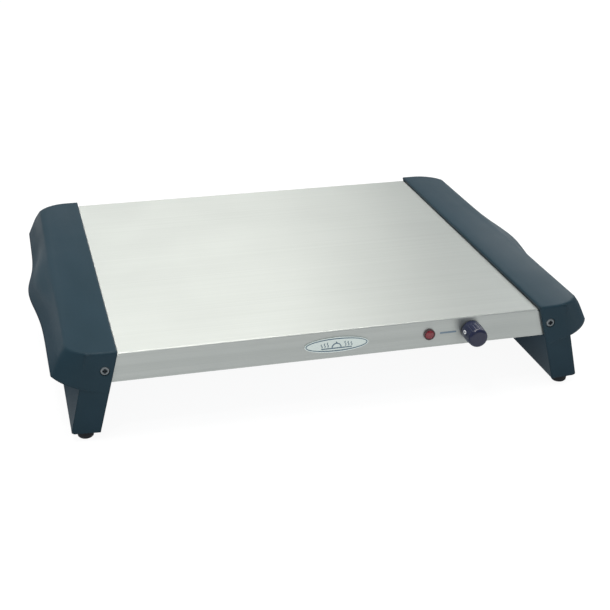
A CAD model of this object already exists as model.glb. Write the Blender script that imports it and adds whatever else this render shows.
"""Looks for the electric buffet server, a brushed steel warming tray between two moulded end frames.
Metres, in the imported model's frame: +X right, +Y back, +Z up, the origin on the table under its middle.
"""

from math import cos, radians, sin

import bmesh
import bpy
from mathutils import Matrix, Vector


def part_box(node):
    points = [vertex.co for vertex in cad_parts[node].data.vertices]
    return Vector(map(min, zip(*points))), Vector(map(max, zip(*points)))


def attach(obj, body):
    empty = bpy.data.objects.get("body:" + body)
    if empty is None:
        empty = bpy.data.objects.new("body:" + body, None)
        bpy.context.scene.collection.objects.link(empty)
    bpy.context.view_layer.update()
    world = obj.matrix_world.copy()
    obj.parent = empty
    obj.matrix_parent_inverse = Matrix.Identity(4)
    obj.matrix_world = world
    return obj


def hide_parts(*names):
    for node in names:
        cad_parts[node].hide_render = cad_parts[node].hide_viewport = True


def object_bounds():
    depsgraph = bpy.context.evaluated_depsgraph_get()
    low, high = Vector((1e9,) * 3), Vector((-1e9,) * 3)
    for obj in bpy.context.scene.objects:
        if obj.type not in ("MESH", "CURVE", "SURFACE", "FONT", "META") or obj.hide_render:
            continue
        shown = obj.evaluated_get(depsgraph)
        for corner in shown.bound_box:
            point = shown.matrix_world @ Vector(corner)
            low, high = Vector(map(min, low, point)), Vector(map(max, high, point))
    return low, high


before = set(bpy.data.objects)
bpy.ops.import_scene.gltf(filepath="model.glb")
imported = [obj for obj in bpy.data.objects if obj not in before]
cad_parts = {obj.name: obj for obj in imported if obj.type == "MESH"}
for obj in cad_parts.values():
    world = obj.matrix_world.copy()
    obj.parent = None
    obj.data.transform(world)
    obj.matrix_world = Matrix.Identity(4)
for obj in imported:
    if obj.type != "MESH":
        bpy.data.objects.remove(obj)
cad_low, cad_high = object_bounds()

# ---------- studio ----------
# A wide white floor under soft lights, with the camera a little left of the tray's middle. The
# overhead softbox shows in the brushed steel, brightest at its left. The floor's reflection is dark
# beside and behind the tray, so the end frames keep dark sides.

mm = 0.001
lens_camera = bpy.data.cameras.new("lens")
lens_camera.lens = 72.93
lens_camera.sensor_width = 36.0
lens_camera.clip_end = 60.0
camera = bpy.data.objects.new("camera", lens_camera)
bpy.context.scene.collection.objects.link(camera)
knob_reach = 16 * mm
cap_front_middle = Vector((0.0, cad_low[1] + knob_reach, cad_high[2]))
stand_off = Vector((-253.97, -875.10, 423.47)) * mm
turn_right, tip_down, lean = radians(14.5105), radians(23.8479), radians(0.2566)
ahead = Vector((sin(turn_right) * cos(tip_down), cos(turn_right) * cos(tip_down), -sin(tip_down)))
level_right = Vector((cos(turn_right), -sin(turn_right), 0.0))
level_up = level_right.cross(ahead)
camera_right = cos(lean) * level_right + sin(lean) * level_up
camera_up = cos(lean) * level_up - sin(lean) * level_right
facing = Matrix((camera_right, camera_up, -ahead)).transposed().to_4x4()
camera.matrix_world = Matrix.Translation(cap_front_middle + stand_off) @ facing
bpy.context.scene.camera = camera
bpy.context.scene.view_settings.view_transform = "Standard"


def soft_light(name, place, towards, size, power, tint=(1.0, 1.0, 1.0)):
    """A rectangular softbox at a place, turned to face a point."""
    lamp = bpy.data.lights.new(name, "AREA")
    lamp.shape = "RECTANGLE"
    lamp.size, lamp.size_y = size
    lamp.energy = power
    lamp.color = tint
    box = bpy.data.objects.new(name, lamp)
    bpy.context.scene.collection.objects.link(box)
    aim = (Vector(towards) - Vector(place)).to_track_quat("-Z", "Y")
    box.matrix_world = Matrix.Translation(place) @ aim.to_matrix().to_4x4()


soft_light("overhead_softbox", (-0.08, 0.25, 2.0), (0.0, 0.1, 0.0), (1.98, 1.2), 37.0,
           (1.0, 0.965, 0.925))
soft_light("rear_softbox", (2.1, 2.3, 1.2), (0.0, 0.0, 0.05), (1.6, 1.0), 11.0)
soft_light("left_softbox", (-2.1, -0.9, 1.2), (0.0, 0.0, 0.05), (1.4, 1.2), 1.0)
soft_light("right_softbox", (1.5, 0.35, 1.7), (0.2, 0.0, 0.0), (1.3, 1.3), 4.5)
soft_light("front_softbox", (-0.5, -2.6, 1.3), (0.0, -0.1, 0.04), (1.8, 1.0), 1.8)
soft_light("glint_lamp", (-0.43, -0.9, 1.8), (0.1, -0.2, 0.05), (0.16, 0.16), 4.0)

room = bpy.data.worlds.new("pale_room")
room.use_nodes = True
room.node_tree.nodes["Background"].inputs["Color"].default_value = (0.93, 0.97, 1.0, 1.0)
room.node_tree.nodes["Background"].inputs["Strength"].default_value = 0.45
bpy.context.scene.world = room


def math_node(tree, operation, first, second=None):
    """A Math node's output, fed by sockets or plain numbers."""
    node = tree.nodes.new("ShaderNodeMath")
    node.operation = operation
    for slot_number, value in enumerate((first, second)):
        if isinstance(value, bpy.types.NodeSocket):
            tree.links.new(value, node.inputs[slot_number])
        elif value is not None:
            node.inputs[slot_number].default_value = value
    return node.outputs[0]


def spread(tree, value, low, high, to_low=0.0, to_high=1.0):
    """Stretches the part of a value between low and high over a new range."""
    node = tree.nodes.new("ShaderNodeMapRange")
    tree.links.new(value, node.inputs["Value"])
    limits = {"From Min": low, "From Max": high, "To Min": to_low, "To Max": to_high}
    for label, number in limits.items():
        node.inputs[label].default_value = number
    return node.outputs["Result"]


def blend_tints(tree, share, low, high):
    """A colour between two tints or colour sockets, by a share."""
    node = tree.nodes.new("ShaderNodeMix")
    node.data_type = "RGBA"
    tree.links.new(share, node.inputs["Factor"])
    for label, tint in (("A", low), ("B", high)):
        entry = next(s for s in node.inputs if s.name == label and s.type == "RGBA")
        if isinstance(tint, bpy.types.NodeSocket):
            tree.links.new(tint, entry)
        else:
            entry.default_value = (*tint, 1.0)
    return next(s for s in node.outputs if s.type == "RGBA")


floor_half = 14.0
dim_middle_y, dim_reach, lit_reach = 0.25, 0.3, 0.55
dim_tint, lit_tint, seen_tint = (0.02, 0.06, 0.1), (1.0, 1.0, 1.0), (0.93, 0.93, 0.93)
sheet = bmesh.new()
bmesh.ops.create_grid(sheet, x_segments=1, y_segments=1, size=floor_half)
floor_mesh = bpy.data.meshes.new("floor")
sheet.to_mesh(floor_mesh)
sheet.free()
floor = bpy.data.objects.new("floor", floor_mesh)
bpy.context.scene.collection.objects.link(floor)
floor_paint = bpy.data.materials.new("floor_paint")
floor_paint.use_nodes = True
floor_tree = floor_paint.node_tree
floor_shader = floor_tree.nodes["Principled BSDF"]
floor_shader.inputs["Base Color"].default_value = (0.12, 0.12, 0.12, 1.0)
floor_shader.inputs["Roughness"].default_value = 0.9
floor_shader.inputs["Specular IOR Level"].default_value = 0.1
floor_shader.inputs["Emission Strength"].default_value = 1.0
floor_place = floor_tree.nodes.new("ShaderNodeTexCoord").outputs["Object"]
floor_parts = floor_tree.nodes.new("ShaderNodeSeparateXYZ")
floor_tree.links.new(floor_place, floor_parts.inputs[0])
past_middle = math_node(floor_tree, "SUBTRACT", floor_parts.outputs["Y"], dim_middle_y)
lit_share = spread(floor_tree, math_node(floor_tree, "ABSOLUTE", past_middle), dim_reach, lit_reach)
reflected = blend_tints(floor_tree, lit_share, dim_tint, lit_tint)
seen_directly = floor_tree.nodes.new("ShaderNodeLightPath").outputs["Is Camera Ray"]
floor_glow = blend_tints(floor_tree, seen_directly, reflected, seen_tint)
floor_tree.links.new(floor_glow, floor_shader.inputs["Emission Color"])
floor_mesh.materials.append(floor_paint)

# ---------- folded steel top ----------
# Stainless steel sheet, brushed along its length, folded down at the front and rear and turned under.
# It carries the badge, lamp and control, and its sunk ends slide into the end frames.


def new_group(name, numbers, vectors, outputs):
    """An empty node group with a Vector input, number and vector inputs, and its outputs."""
    tree = bpy.data.node_groups.new(name, "ShaderNodeTree")
    tree.interface.new_socket("Vector", in_out="INPUT", socket_type="NodeSocketVector")
    for label in vectors:
        tree.interface.new_socket(label, in_out="INPUT", socket_type="NodeSocketVector")
    for label in numbers:
        tree.interface.new_socket(label, in_out="INPUT", socket_type="NodeSocketFloat")
    for label in outputs:
        tree.interface.new_socket(label, in_out="OUTPUT", socket_type="NodeSocketFloat")
    return tree, tree.nodes.new("NodeGroupInput"), tree.nodes.new("NodeGroupOutput")


# Grain drawn out along an axis: Stretch says how many times finer it is along each axis
grain_tree, grain_in, grain_out = new_group("drawn_grain", ("Detail",), ("Stretch",), ("Grain", "Cloud"))
drawn = grain_tree.nodes.new("ShaderNodeVectorMath")
drawn.operation = "MULTIPLY"
grain_tree.links.new(grain_in.outputs["Vector"], drawn.inputs[0])
grain_tree.links.new(grain_in.outputs["Stretch"], drawn.inputs[1])
fine = grain_tree.nodes.new("ShaderNodeTexNoise")
fine.inputs["Scale"].default_value = 1.0
fine.inputs["Roughness"].default_value = 0.65
grain_tree.links.new(drawn.outputs[0], fine.inputs["Vector"])
grain_tree.links.new(grain_in.outputs["Detail"], fine.inputs["Detail"])
cloud = grain_tree.nodes.new("ShaderNodeTexNoise")
cloud.inputs["Scale"].default_value = 14.0
cloud.inputs["Detail"].default_value = 3.0
grain_tree.links.new(grain_in.outputs["Vector"], cloud.inputs["Vector"])
grain_tree.links.new(spread(grain_tree, fine.outputs[0], 0.25, 0.75), grain_out.inputs["Grain"])
grain_tree.links.new(spread(grain_tree, cloud.outputs[0], 0.3, 0.7), grain_out.inputs["Cloud"])

# Rubbed edges: where a rounded normal parts from the real one, broken up by noise. It also gives the
# rounded normal itself
wear_tree, wear_in, wear_out = new_group("rubbed_edges", ("Radius", "Reach"), (), ("Rub",))
wear_tree.interface.new_socket("Rounded", in_out="OUTPUT", socket_type="NodeSocketVector")
rounded = wear_tree.nodes.new("ShaderNodeBevel")
rounded.samples = 6
wear_tree.links.new(wear_in.outputs["Radius"], rounded.inputs["Radius"])
wear_tree.links.new(rounded.outputs[0], wear_out.inputs["Rounded"])
surface = wear_tree.nodes.new("ShaderNodeNewGeometry")
likeness = wear_tree.nodes.new("ShaderNodeVectorMath")
likeness.operation = "DOT_PRODUCT"
wear_tree.links.new(rounded.outputs[0], likeness.inputs[0])
wear_tree.links.new(surface.outputs["Normal"], likeness.inputs[1])
patches = wear_tree.nodes.new("ShaderNodeTexNoise")
patches.inputs["Scale"].default_value = 220.0
patches.inputs["Detail"].default_value = 4.0
wear_tree.links.new(wear_in.outputs["Vector"], patches.inputs["Vector"])
parting = spread(wear_tree, likeness.outputs["Value"], 0.995, 0.8)
broken = math_node(wear_tree, "MULTIPLY", parting, spread(wear_tree, patches.outputs[0], 0.35, 0.6))
rub_share = math_node(wear_tree, "MULTIPLY", broken, wear_in.outputs["Reach"])
wear_tree.links.new(rub_share, wear_out.inputs["Rub"])


def start_finish(name):
    """A new finish: the material, its node tree, its shader and its Object coordinates."""
    finish = bpy.data.materials.new(name)
    finish.use_nodes = True
    tree = finish.node_tree
    place = tree.nodes.new("ShaderNodeTexCoord").outputs["Object"]
    return finish, tree, tree.nodes["Principled BSDF"], place


def place_group(tree, group, vector, **values):
    """A node group in a finish, with its own values."""
    node = tree.nodes.new("ShaderNodeGroup")
    node.node_tree = group
    tree.links.new(vector, node.inputs["Vector"])
    for label, value in values.items():
        node.inputs[label].default_value = value
    return node.outputs


def raise_surface(tree, shader, height, depth, strength, rounded_normal=None):
    """Bump on a finish, its height in metres, over rounded corners where their normal is given."""
    node = tree.nodes.new("ShaderNodeBump")
    node.inputs["Strength"].default_value = strength
    node.inputs["Distance"].default_value = depth
    tree.links.new(height, node.inputs["Height"])
    if rounded_normal:
        tree.links.new(rounded_normal, node.inputs["Normal"])
    tree.links.new(node.outputs["Normal"], shader.inputs["Normal"])


gloss_swing = 0.07
worn_radius, grain_depth = 0.6 * mm, 0.06 * mm


def worked_finish(name, tint, shade, rough, metallic, stretch, relief, rub=(), gloss=0.5):
    """A finish with grain, cloudy colour and uneven gloss, and worn edges if rub gives a tint and reach."""
    finish, tree, shader, place = start_finish(name)
    grain = place_group(tree, grain_tree, place, Stretch=stretch, Detail=3.0)
    mixed = math_node(tree, "ADD", math_node(tree, "MULTIPLY", grain["Grain"], 0.55),
                      math_node(tree, "MULTIPLY", grain["Cloud"], 0.45))
    colour = blend_tints(tree, mixed, shade, tint)
    if rub:
        edges = place_group(tree, wear_tree, place, Radius=worn_radius, Reach=rub[1])["Rub"]
        colour = blend_tints(tree, edges, colour, rub[0])
    tree.links.new(colour, shader.inputs["Base Color"])
    uneven = spread(tree, mixed, 0.2, 0.8, rough - gloss_swing, rough + gloss_swing)
    tree.links.new(uneven, shader.inputs["Roughness"])
    shader.inputs["Metallic"].default_value = metallic
    shader.inputs["Specular IOR Level"].default_value = gloss
    raise_surface(tree, shader, grain["Grain"], grain_depth, relief)
    return finish


def paint(finish, *names):
    """Gives CAD nodes a finish in place of their plain colour."""
    for name in names:
        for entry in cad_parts[name].material_slots:
            entry.material = finish


brushed, tree, shader, place = start_finish("brushed_steel")
streaks = place_group(tree, grain_tree, place, Stretch=(5.0, 1500.0, 1500.0), Detail=3.0)
bands = place_group(tree, grain_tree, place, Stretch=(2.0, 260.0, 260.0), Detail=2.0)
brushing = math_node(tree, "ADD", math_node(tree, "MULTIPLY", streaks["Grain"], 0.6),
                     math_node(tree, "MULTIPLY", bands["Grain"], 0.4))
steel_tint = blend_tints(tree, brushing, (0.475, 0.502, 0.482), (0.535, 0.562, 0.542))
steel_rub = place_group(tree, wear_tree, place, Radius=1.0 * mm, Reach=0.9)["Rub"]
tree.links.new(blend_tints(tree, steel_rub, steel_tint, (0.9, 0.92, 0.9)), shader.inputs["Base Color"])
gloss_break = math_node(tree, "ADD", math_node(tree, "MULTIPLY", brushing, 0.7),
                        math_node(tree, "MULTIPLY", bands["Cloud"], 0.3))
tree.links.new(spread(tree, gloss_break, 0.2, 0.8, 0.45, 0.39), shader.inputs["Roughness"])
shader.inputs["Metallic"].default_value = 1.0
shader.inputs["Anisotropic"].default_value = 0.9
across_grain = tree.nodes.new("ShaderNodeTangent")
across_grain.direction_type = "RADIAL"
across_grain.axis = "X"
tree.links.new(across_grain.outputs[0], shader.inputs["Tangent"])
raise_surface(tree, shader, brushing, 0.03 * mm, 0.4)
paint(brushed, "top_panel")

# ---------- heating stack ----------
# An aluminium plate spreads the heat of a flat ribbon held between two mica sheets. A fibre blanket
# and a steel plate press them up under the steel top, on studs welded to it.

spread_metal = worked_finish("rolled_aluminium", (0.8, 0.81, 0.82), (0.68, 0.69, 0.7), 0.38, 1.0,
                             (60.0, 1400.0, 1400.0), 0.35)
paint(spread_metal, "heat_spreader")

mica, tree, shader, place = start_finish("mica_sheet")
flakes = tree.nodes.new("ShaderNodeTexVoronoi")
flakes.inputs["Scale"].default_value = 260.0
tree.links.new(place, flakes.inputs["Vector"])
flake_grain = place_group(tree, grain_tree, place, Stretch=(240.0, 300.0, 240.0), Detail=4.0)
flake_depth = spread(tree, flakes.outputs["Distance"], 0.0, 0.7)
flake_mix = math_node(tree, "MULTIPLY", flake_depth, flake_grain["Grain"])
mica_tint = blend_tints(tree, flake_mix, (0.42, 0.32, 0.18), (0.72, 0.64, 0.46))
tree.links.new(mica_tint, shader.inputs["Base Color"])
tree.links.new(spread(tree, flake_mix, 0.0, 0.8, 0.25, 0.5), shader.inputs["Roughness"])
raise_surface(tree, shader, flake_mix, 0.05 * mm, 0.4)
paint(mica, "upper_mica", "lower_mica")

ribbon = worked_finish("resistance_ribbon", (0.36, 0.31, 0.28), (0.16, 0.12, 0.11), 0.45, 1.0,
                       (40.0, 1200.0, 1200.0), 0.4)
paint(ribbon, "heating_element")

blanket, tree, shader, place = start_finish("fibre_blanket")
long_fibres = place_group(tree, grain_tree, place, Stretch=(90.0, 1300.0, 1300.0), Detail=5.0)
cross_fibres = place_group(tree, grain_tree, place, Stretch=(1300.0, 90.0, 1100.0), Detail=5.0)
matted = math_node(tree, "MAXIMUM", long_fibres["Grain"], cross_fibres["Grain"])
fibre_tint = blend_tints(tree, matted, (0.5, 0.47, 0.38), (0.86, 0.84, 0.76))
tree.links.new(fibre_tint, shader.inputs["Base Color"])
tree.links.new(spread(tree, matted, 0.0, 1.0, 0.98, 0.82), shader.inputs["Roughness"])
raise_surface(tree, shader, matted, 0.4 * mm, 0.7)
paint(blanket, "insulation_blanket")

galvanised, tree, shader, place = start_finish("galvanised_sheet")
spangle = tree.nodes.new("ShaderNodeTexVoronoi")
spangle.inputs["Scale"].default_value = 95.0
tree.links.new(place, spangle.inputs["Vector"])
rolling = place_group(tree, grain_tree, place, Stretch=(60.0, 900.0, 900.0), Detail=3.0)
spangle_value = tree.nodes.new("ShaderNodeSeparateColor")
tree.links.new(spangle.outputs["Color"], spangle_value.inputs[0])
zinc = math_node(tree, "ADD", math_node(tree, "MULTIPLY", spangle_value.outputs[0], 0.6),
                 math_node(tree, "MULTIPLY", rolling["Grain"], 0.4))
zinc_rub = place_group(tree, wear_tree, place, Radius=worn_radius, Reach=0.6)["Rub"]
zinc_tint = blend_tints(tree, zinc, (0.4, 0.42, 0.44), (0.62, 0.64, 0.66))
tree.links.new(blend_tints(tree, zinc_rub, zinc_tint, (0.75, 0.76, 0.77)), shader.inputs["Base Color"])
tree.links.new(spread(tree, zinc, 0.1, 0.9, 0.36, 0.54), shader.inputs["Roughness"])
shader.inputs["Metallic"].default_value = 1.0
raise_surface(tree, shader, zinc, 0.04 * mm, 0.35)
paint(galvanised, "retainer_plate", "bottom_cover", "thermostat_bracket")

plated = worked_finish("zinc_plated_screws", (0.74, 0.75, 0.76), (0.5, 0.52, 0.54), 0.3, 1.0,
                       (700.0, 700.0, 700.0), 0.3, ((0.86, 0.86, 0.86), 0.8))
paint(plated, "clamp_studs", "clamp_nuts", "frame_nuts", "fuse_clip", "lamp_clip", "bushing_nut",
      "thermostat_shaft")
blackened = worked_finish("blackened_screws", (0.05, 0.052, 0.055), (0.03, 0.031, 0.033), 0.5, 0.6,
                          (900.0, 900.0, 900.0), 0.3, ((0.16, 0.16, 0.165), 0.5), 0.3)
paint(blackened, "cover_screws", "foot_screws")

fuse_case = worked_finish("fuse_case", (0.72, 0.66, 0.48), (0.5, 0.44, 0.3), 0.4, 1.0,
                          (900.0, 900.0, 900.0), 0.25)
paint(fuse_case, "thermal_fuse")

# ---------- end frames ----------
# Each is one moulding in dark blue-grey plastic: a flat cap, a flared skirt with a hand grip, and a
# ribbed leg wall. The cap's edge is rounded, the other corners are softened in the shading, and the
# surface has a fine spark-eroded texture.

cap_edge_r = 1.3 * mm
cap_level, cap_corner = 0.01 * mm, radians(25)
sharp_corner = radians(32)
seam_gap, flat_within = 0.002 * mm, radians(0.2)
soft_corner_r, worn_corner_r = 3.0 * mm, 1.2 * mm


def shaded_object(name, shape, finish):
    """Ends a shape: smooth faces with sharp corners kept, one finish, an object at the origin."""
    for face in shape.faces:
        face.smooth = True
    for edge in shape.edges:
        edge.smooth = len(edge.link_faces) == 2 and edge.calc_face_angle(0.0) < sharp_corner
    mesh = bpy.data.meshes.new(name)
    shape.to_mesh(mesh)
    shape.free()
    mesh.materials.append(finish)
    piece = bpy.data.objects.new(name, mesh)
    bpy.context.scene.collection.objects.link(piece)
    return piece


def merged_copy(node):
    """A copy of a CAD node's mesh with its seams closed and its flat faces joined."""
    shape = bmesh.new()
    shape.from_mesh(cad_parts[node].data)
    bmesh.ops.remove_doubles(shape, verts=shape.verts, dist=seam_gap)
    bmesh.ops.dissolve_limit(shape, angle_limit=flat_within, verts=shape.verts, edges=shape.edges)
    return shape


moulded, tree, shader, place = start_finish("moulded_plastic")
erosion = place_group(tree, grain_tree, place, Stretch=(1900.0, 1900.0, 1900.0), Detail=2.0)
flow = place_group(tree, grain_tree, place, Stretch=(26.0, 9.0, 26.0), Detail=2.0)
body_tint = blend_tints(tree, flow["Grain"], (0.011, 0.032, 0.046), (0.0145, 0.038, 0.055))
worn = place_group(tree, wear_tree, place, Radius=worn_corner_r, Reach=0.55)["Rub"]
softened = place_group(tree, wear_tree, place, Radius=soft_corner_r, Reach=0.0)["Rounded"]
tree.links.new(blend_tints(tree, worn, body_tint, (0.04, 0.07, 0.09)), shader.inputs["Base Color"])
satin = math_node(tree, "ADD", math_node(tree, "MULTIPLY", erosion["Grain"], 0.5),
                  math_node(tree, "MULTIPLY", flow["Cloud"], 0.5))
tree.links.new(spread(tree, satin, 0.1, 0.9, 0.36, 0.48), shader.inputs["Roughness"])
shader.inputs["Specular IOR Level"].default_value = 0.15
raise_surface(tree, shader, erosion["Grain"], 0.04 * mm, 0.45, softened)

for side in ("left", "right"):
    node = side + "_end_frame"
    shape = merged_copy(node)
    cap_top = max(v.co.z for v in shape.verts)
    cap_edges = [
        e for e in shape.edges
        if min(v.co.z for v in e.verts) > cap_top - cap_level and e.calc_face_angle(0.0) > cap_corner
    ]
    bmesh.ops.bevel(shape, geom=cap_edges, offset=cap_edge_r, segments=4, profile=0.5, affect="EDGES",
                    material=-1, clamp_overlap=True)
    moulding = shaded_object(side + "_moulding", shape, moulded)
    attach(moulding, "chassis")
    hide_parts(node)

# ---------- frame screws ----------
# A nickel-plated cross-head screw at each corner draws the end frame to the tray's apron, into a nut
# behind it. Dark grime sits in the recess.

screw_low, screw_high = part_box("frame_screws")
head_r = 3.75 * mm
axis_x, axis_z = screw_high.x - head_r, (screw_low.z + screw_high.z) / 2
grime_full, grime_end = head_r * 0.35, head_r * 0.75
nickel, tree, shader, place = start_finish("nickel_screws")
turned = place_group(tree, grain_tree, place, Stretch=(900.0, 900.0, 900.0), Detail=3.0)
place_parts = tree.nodes.new("ShaderNodeSeparateXYZ")
tree.links.new(place, place_parts.inputs[0])
from_axis_x = math_node(tree, "SUBTRACT", math_node(tree, "ABSOLUTE", place_parts.outputs["X"]), axis_x)
from_axis_z = math_node(tree, "SUBTRACT", place_parts.outputs["Z"], axis_z)
squares = math_node(tree, "ADD", math_node(tree, "POWER", from_axis_x, 2.0),
                    math_node(tree, "POWER", from_axis_z, 2.0))
grime = spread(tree, math_node(tree, "SQRT", squares), grime_full, grime_end, 1.0, 0.0)
head_tint = blend_tints(tree, turned["Grain"], (0.15, 0.17, 0.18), (0.24, 0.26, 0.27))
tree.links.new(blend_tints(tree, grime, head_tint, (0.02, 0.025, 0.03)), shader.inputs["Base Color"])
tree.links.new(spread(tree, turned["Cloud"], 0.0, 1.0, 0.34, 0.48), shader.inputs["Roughness"])
shader.inputs["Metallic"].default_value = 1.0
raise_surface(tree, shader, turned["Grain"], 0.05 * mm, 0.3)
paint(nickel, "frame_screws")

# ---------- feet ----------
# Four moulded black rubber feet, one under each corner. A screw through its sunk middle holds each foot
# up in its boss in the leg wall.

rubber = worked_finish("black_rubber", (0.018, 0.02, 0.023), (0.009, 0.01, 0.012), 0.72, 0.0,
                       (1500.0, 1500.0, 1500.0), 0.5, ((0.05, 0.052, 0.055), 0.7), 0.35)
paint(rubber, "front_left_foot", "front_right_foot", "rear_left_foot", "rear_right_foot")

# ---------- badge ----------
# A thin oval of satin aluminium glued to the apron. Its border, covered dish and steam are printed in
# blue-grey ink.

badge_metal = worked_finish("satin_badge", (0.66, 0.73, 0.7), (0.53, 0.6, 0.58), 0.38, 0.75,
                            (80.0, 1800.0, 1800.0), 0.25, ((0.9, 0.94, 0.94), 1.0))
paint(badge_metal, "badge_plate")
badge_ink = worked_finish("badge_ink", (0.09, 0.16, 0.23), (0.05, 0.1, 0.15), 0.45, 0.0,
                          (1500.0, 1500.0, 1500.0), 0.2)
paint(badge_ink, "badge_emblem")

# ---------- pilot lamp ----------
# A faceted red lens in a dark ring, clipped through the apron, with a neon lamp behind it. A short
# printed dash stands between it and the knob.

bezel_finish = worked_finish("lamp_ring", (0.07, 0.03, 0.035), (0.04, 0.018, 0.02), 0.3, 0.0,
                             (1200.0, 1200.0, 1200.0), 0.2, ((0.16, 0.1, 0.1), 0.7))
paint(bezel_finish, "lamp_bezel")

lens_low, lens_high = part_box("lamp_lens")
lens_middle = (lens_low + lens_high) / 2
lens_r = (lens_high.x - lens_low.x) / 2
lens_rise, lens_wall = 1.1 * mm, 0.8 * mm
dome = bmesh.new()
bmesh.ops.create_icosphere(dome, subdivisions=2, radius=lens_r)
cut = bmesh.ops.bisect_plane(dome, geom=dome.verts[:] + dome.edges[:] + dome.faces[:], dist=1e-6,
                             plane_co=(0, 0, 0), plane_no=(0, 1, 0), clear_outer=True)
rim = [e for e in cut["geom_cut"] if isinstance(e, bmesh.types.BMEdge)]
bmesh.ops.scale(dome, vec=(1.0, lens_rise / lens_r, 1.0), verts=dome.verts)
wall = bmesh.ops.extrude_edge_only(dome, edges=rim)["geom"]
wall_verts = [v for v in wall if isinstance(v, bmesh.types.BMVert)]
bmesh.ops.translate(dome, vec=(0.0, lens_wall, 0.0), verts=wall_verts)
bmesh.ops.contextual_create(dome, geom=[e for e in wall if isinstance(e, bmesh.types.BMEdge)])
bmesh.ops.recalc_face_normals(dome, faces=dome.faces)
bmesh.ops.translate(dome, vec=(lens_middle.x, lens_low.y + lens_rise, lens_middle.z), verts=dome.verts)
lens_finish, tree, shader, place = start_finish("red_lens")
lens_grain = place_group(tree, grain_tree, place, Stretch=(700.0, 700.0, 700.0), Detail=2.0)
tree.links.new(blend_tints(tree, lens_grain["Grain"], (0.15, 0.001, 0.008), (0.3, 0.004, 0.024)),
               shader.inputs["Base Color"])
tree.links.new(spread(tree, lens_grain["Cloud"], 0.0, 1.0, 0.08, 0.2), shader.inputs["Roughness"])
shader.inputs["Transmission Weight"].default_value = 0.15
shader.inputs["Coat Weight"].default_value = 0.4
raise_surface(tree, shader, lens_grain["Grain"], 0.04 * mm, 0.2)
lens = shaded_object("lamp_window", dome, lens_finish)
for polygon in lens.data.polygons:
    polygon.use_smooth = False
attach(lens, "chassis")
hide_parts("lamp_lens")

neon = worked_finish("neon_glass", (0.75, 0.42, 0.3), (0.6, 0.3, 0.2), 0.15, 0.0,
                     (500.0, 500.0, 500.0), 0.1)
paint(neon, "neon_lamp")

apron_face_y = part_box("top_panel")[0].y
dash_length, dash_height, dash_thick, dash_corner_r = 14.5 * mm, 1.6 * mm, 0.05 * mm, 0.45 * mm
dash_left = 90.0 * mm
dash = bmesh.new()
bmesh.ops.create_grid(dash, x_segments=1, y_segments=1, size=0.5)
bmesh.ops.scale(dash, vec=(dash_length, dash_height, 1.0), verts=dash.verts)
bmesh.ops.bevel(dash, geom=dash.verts, offset=dash_corner_r, segments=5, profile=0.5,
                affect="VERTICES", material=-1, clamp_overlap=True)
raised = bmesh.ops.extrude_face_region(dash, geom=dash.faces[:])["geom"]
raised_verts = [v for v in raised if isinstance(v, bmesh.types.BMVert)]
bmesh.ops.translate(dash, vec=(0, 0, dash_thick), verts=raised_verts)
bmesh.ops.rotate(dash, cent=(0, 0, 0), matrix=Matrix.Rotation(radians(90), 3, "X"), verts=dash.verts)
bmesh.ops.recalc_face_normals(dash, faces=dash.faces)
bmesh.ops.translate(dash, vec=(dash_left + dash_length / 2, apron_face_y, lens_middle.z), verts=dash.verts)
grey_ink = worked_finish("printed_grey", (0.2, 0.27, 0.33), (0.14, 0.2, 0.26), 0.5, 0.0,
                         (1500.0, 1500.0, 1500.0), 0.2)
dash_print = shaded_object("lamp_dash", dash, grey_ink)
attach(dash_print, "chassis")

# ---------- thermostat ----------
# A phenolic body with a brass bushing, bimetal strip and pins, on a folded bracket behind the apron. The
# cord's terminal block and ground lug are of the same materials.

phenolic = worked_finish("phenolic_body", (0.72, 0.68, 0.56), (0.55, 0.5, 0.4), 0.5, 0.0,
                         (600.0, 600.0, 600.0), 0.3)
paint(phenolic, "thermostat_body", "terminal_block")
brass = worked_finish("brass", (0.78, 0.62, 0.3), (0.6, 0.45, 0.2), 0.3, 1.0, (700.0, 700.0, 700.0), 0.25,
                      ((0.9, 0.78, 0.5), 0.7))
paint(brass, "thermostat_bushing", "bimetal_strip", "terminal_pins", "terminal_screws", "ground_lug")

# ---------- knob ----------
# A glossy navy knob in moulded plastic, fluted along its grip and pressed on the flatted shaft. A white
# ring printed on its collar marks the setting.

knob_finish, tree, shader, place = start_finish("navy_knob")
knob_grain = place_group(tree, grain_tree, place, Stretch=(800.0, 800.0, 800.0), Detail=3.0)
knob_tint = blend_tints(tree, knob_grain["Grain"], (0.002, 0.004, 0.027), (0.004, 0.009, 0.044))
knob_rub = place_group(tree, wear_tree, place, Radius=0.7 * mm, Reach=0.6)["Rub"]
tree.links.new(blend_tints(tree, knob_rub, knob_tint, (0.03, 0.036, 0.09)), shader.inputs["Base Color"])
tree.links.new(spread(tree, knob_grain["Cloud"], 0.0, 1.0, 0.26, 0.4), shader.inputs["Roughness"])
shader.inputs["Specular IOR Level"].default_value = 0.25
shader.inputs["Coat Weight"].default_value = 0.5
shader.inputs["Coat Roughness"].default_value = 0.14
raise_surface(tree, shader, knob_grain["Grain"], 0.05 * mm, 0.35)
paint(knob_finish, "knob")

knob_low, knob_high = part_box("knob")
knob_x, knob_z = (knob_low.x + knob_high.x) / 2, (knob_low.z + knob_high.z) / 2
collar_r = (knob_high.x - knob_low.x) / 2
ring_set_back = 7 * mm
ring_y = knob_high.y - ring_set_back
ring_long, ring_wide, ring_hole = 2.65 * mm, 1.55 * mm, 0.5
ring_under, ring_over = 0.02 * mm, 0.12 * mm
above_nine = radians(15)
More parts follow.
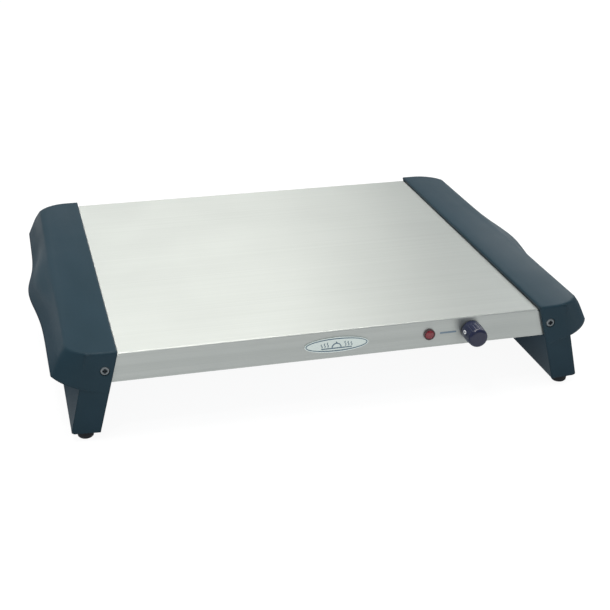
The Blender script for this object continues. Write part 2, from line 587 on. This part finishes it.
# Spun flat with a radius of 1, then drawn out to its size and wrapped round the collar
ring = bmesh.new()
band = [ring.verts.new((reach, 0.0, lift)) for reach, lift in
        ((ring_hole, ring_under), (1.0, ring_under), (1.0, ring_over), (ring_hole, ring_over))]
band_edges = [ring.edges.new((band[i - 1], band[i])) for i in range(4)]
bmesh.ops.spin(ring, geom=band + band_edges, cent=(0, 0, 0), axis=(0, 0, 1), angle=radians(360),
               steps=48, use_merge=True)
for vert in ring.verts:
    along, around, lift = vert.co.x * ring_long, vert.co.y * ring_wide / collar_r, vert.co.z
    vert.co = (knob_x - cos(above_nine + around) * (collar_r + lift), ring_y + along,
               knob_z + sin(above_nine + around) * (collar_r + lift))
bmesh.ops.recalc_face_normals(ring, faces=ring.faces)
marker = worked_finish("white_print", (0.86, 0.88, 0.9), (0.78, 0.8, 0.82), 0.45, 0.0,
                       (1500.0, 1500.0, 1500.0), 0.15)
ring_print = shaded_object("marker_ring", ring, marker)
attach(ring_print, "control")
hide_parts("knob_marker")

# ---------- cord outlet and wiring ----------
# A black nylon gland in the rear apron, held by a nut inside. Insulated leads run inside the tray, and
# a green screw grounds it.

nylon = worked_finish("black_nylon", (0.022, 0.023, 0.025), (0.013, 0.014, 0.015), 0.5, 0.0,
                      (1100.0, 1100.0, 1100.0), 0.35, ((0.06, 0.062, 0.065), 0.7))
paint(nylon, "cord_gland", "gland_nut")
ground_green = worked_finish("green_screw", (0.12, 0.42, 0.18), (0.07, 0.3, 0.11), 0.4, 0.3,
                             (800.0, 800.0, 800.0), 0.25)
paint(ground_green, "ground_screw")
red_sleeve = worked_finish("red_insulation", (0.42, 0.08, 0.04), (0.28, 0.05, 0.025), 0.55, 0.0,
                           (500.0, 500.0, 500.0), 0.3)
paint(red_sleeve, "live_lead", "element_lead", "lamp_leads")
blue_sleeve = worked_finish("blue_insulation", (0.1, 0.2, 0.5), (0.06, 0.13, 0.36), 0.55, 0.0,
                            (500.0, 500.0, 500.0), 0.3)
paint(blue_sleeve, "neutral_lead")
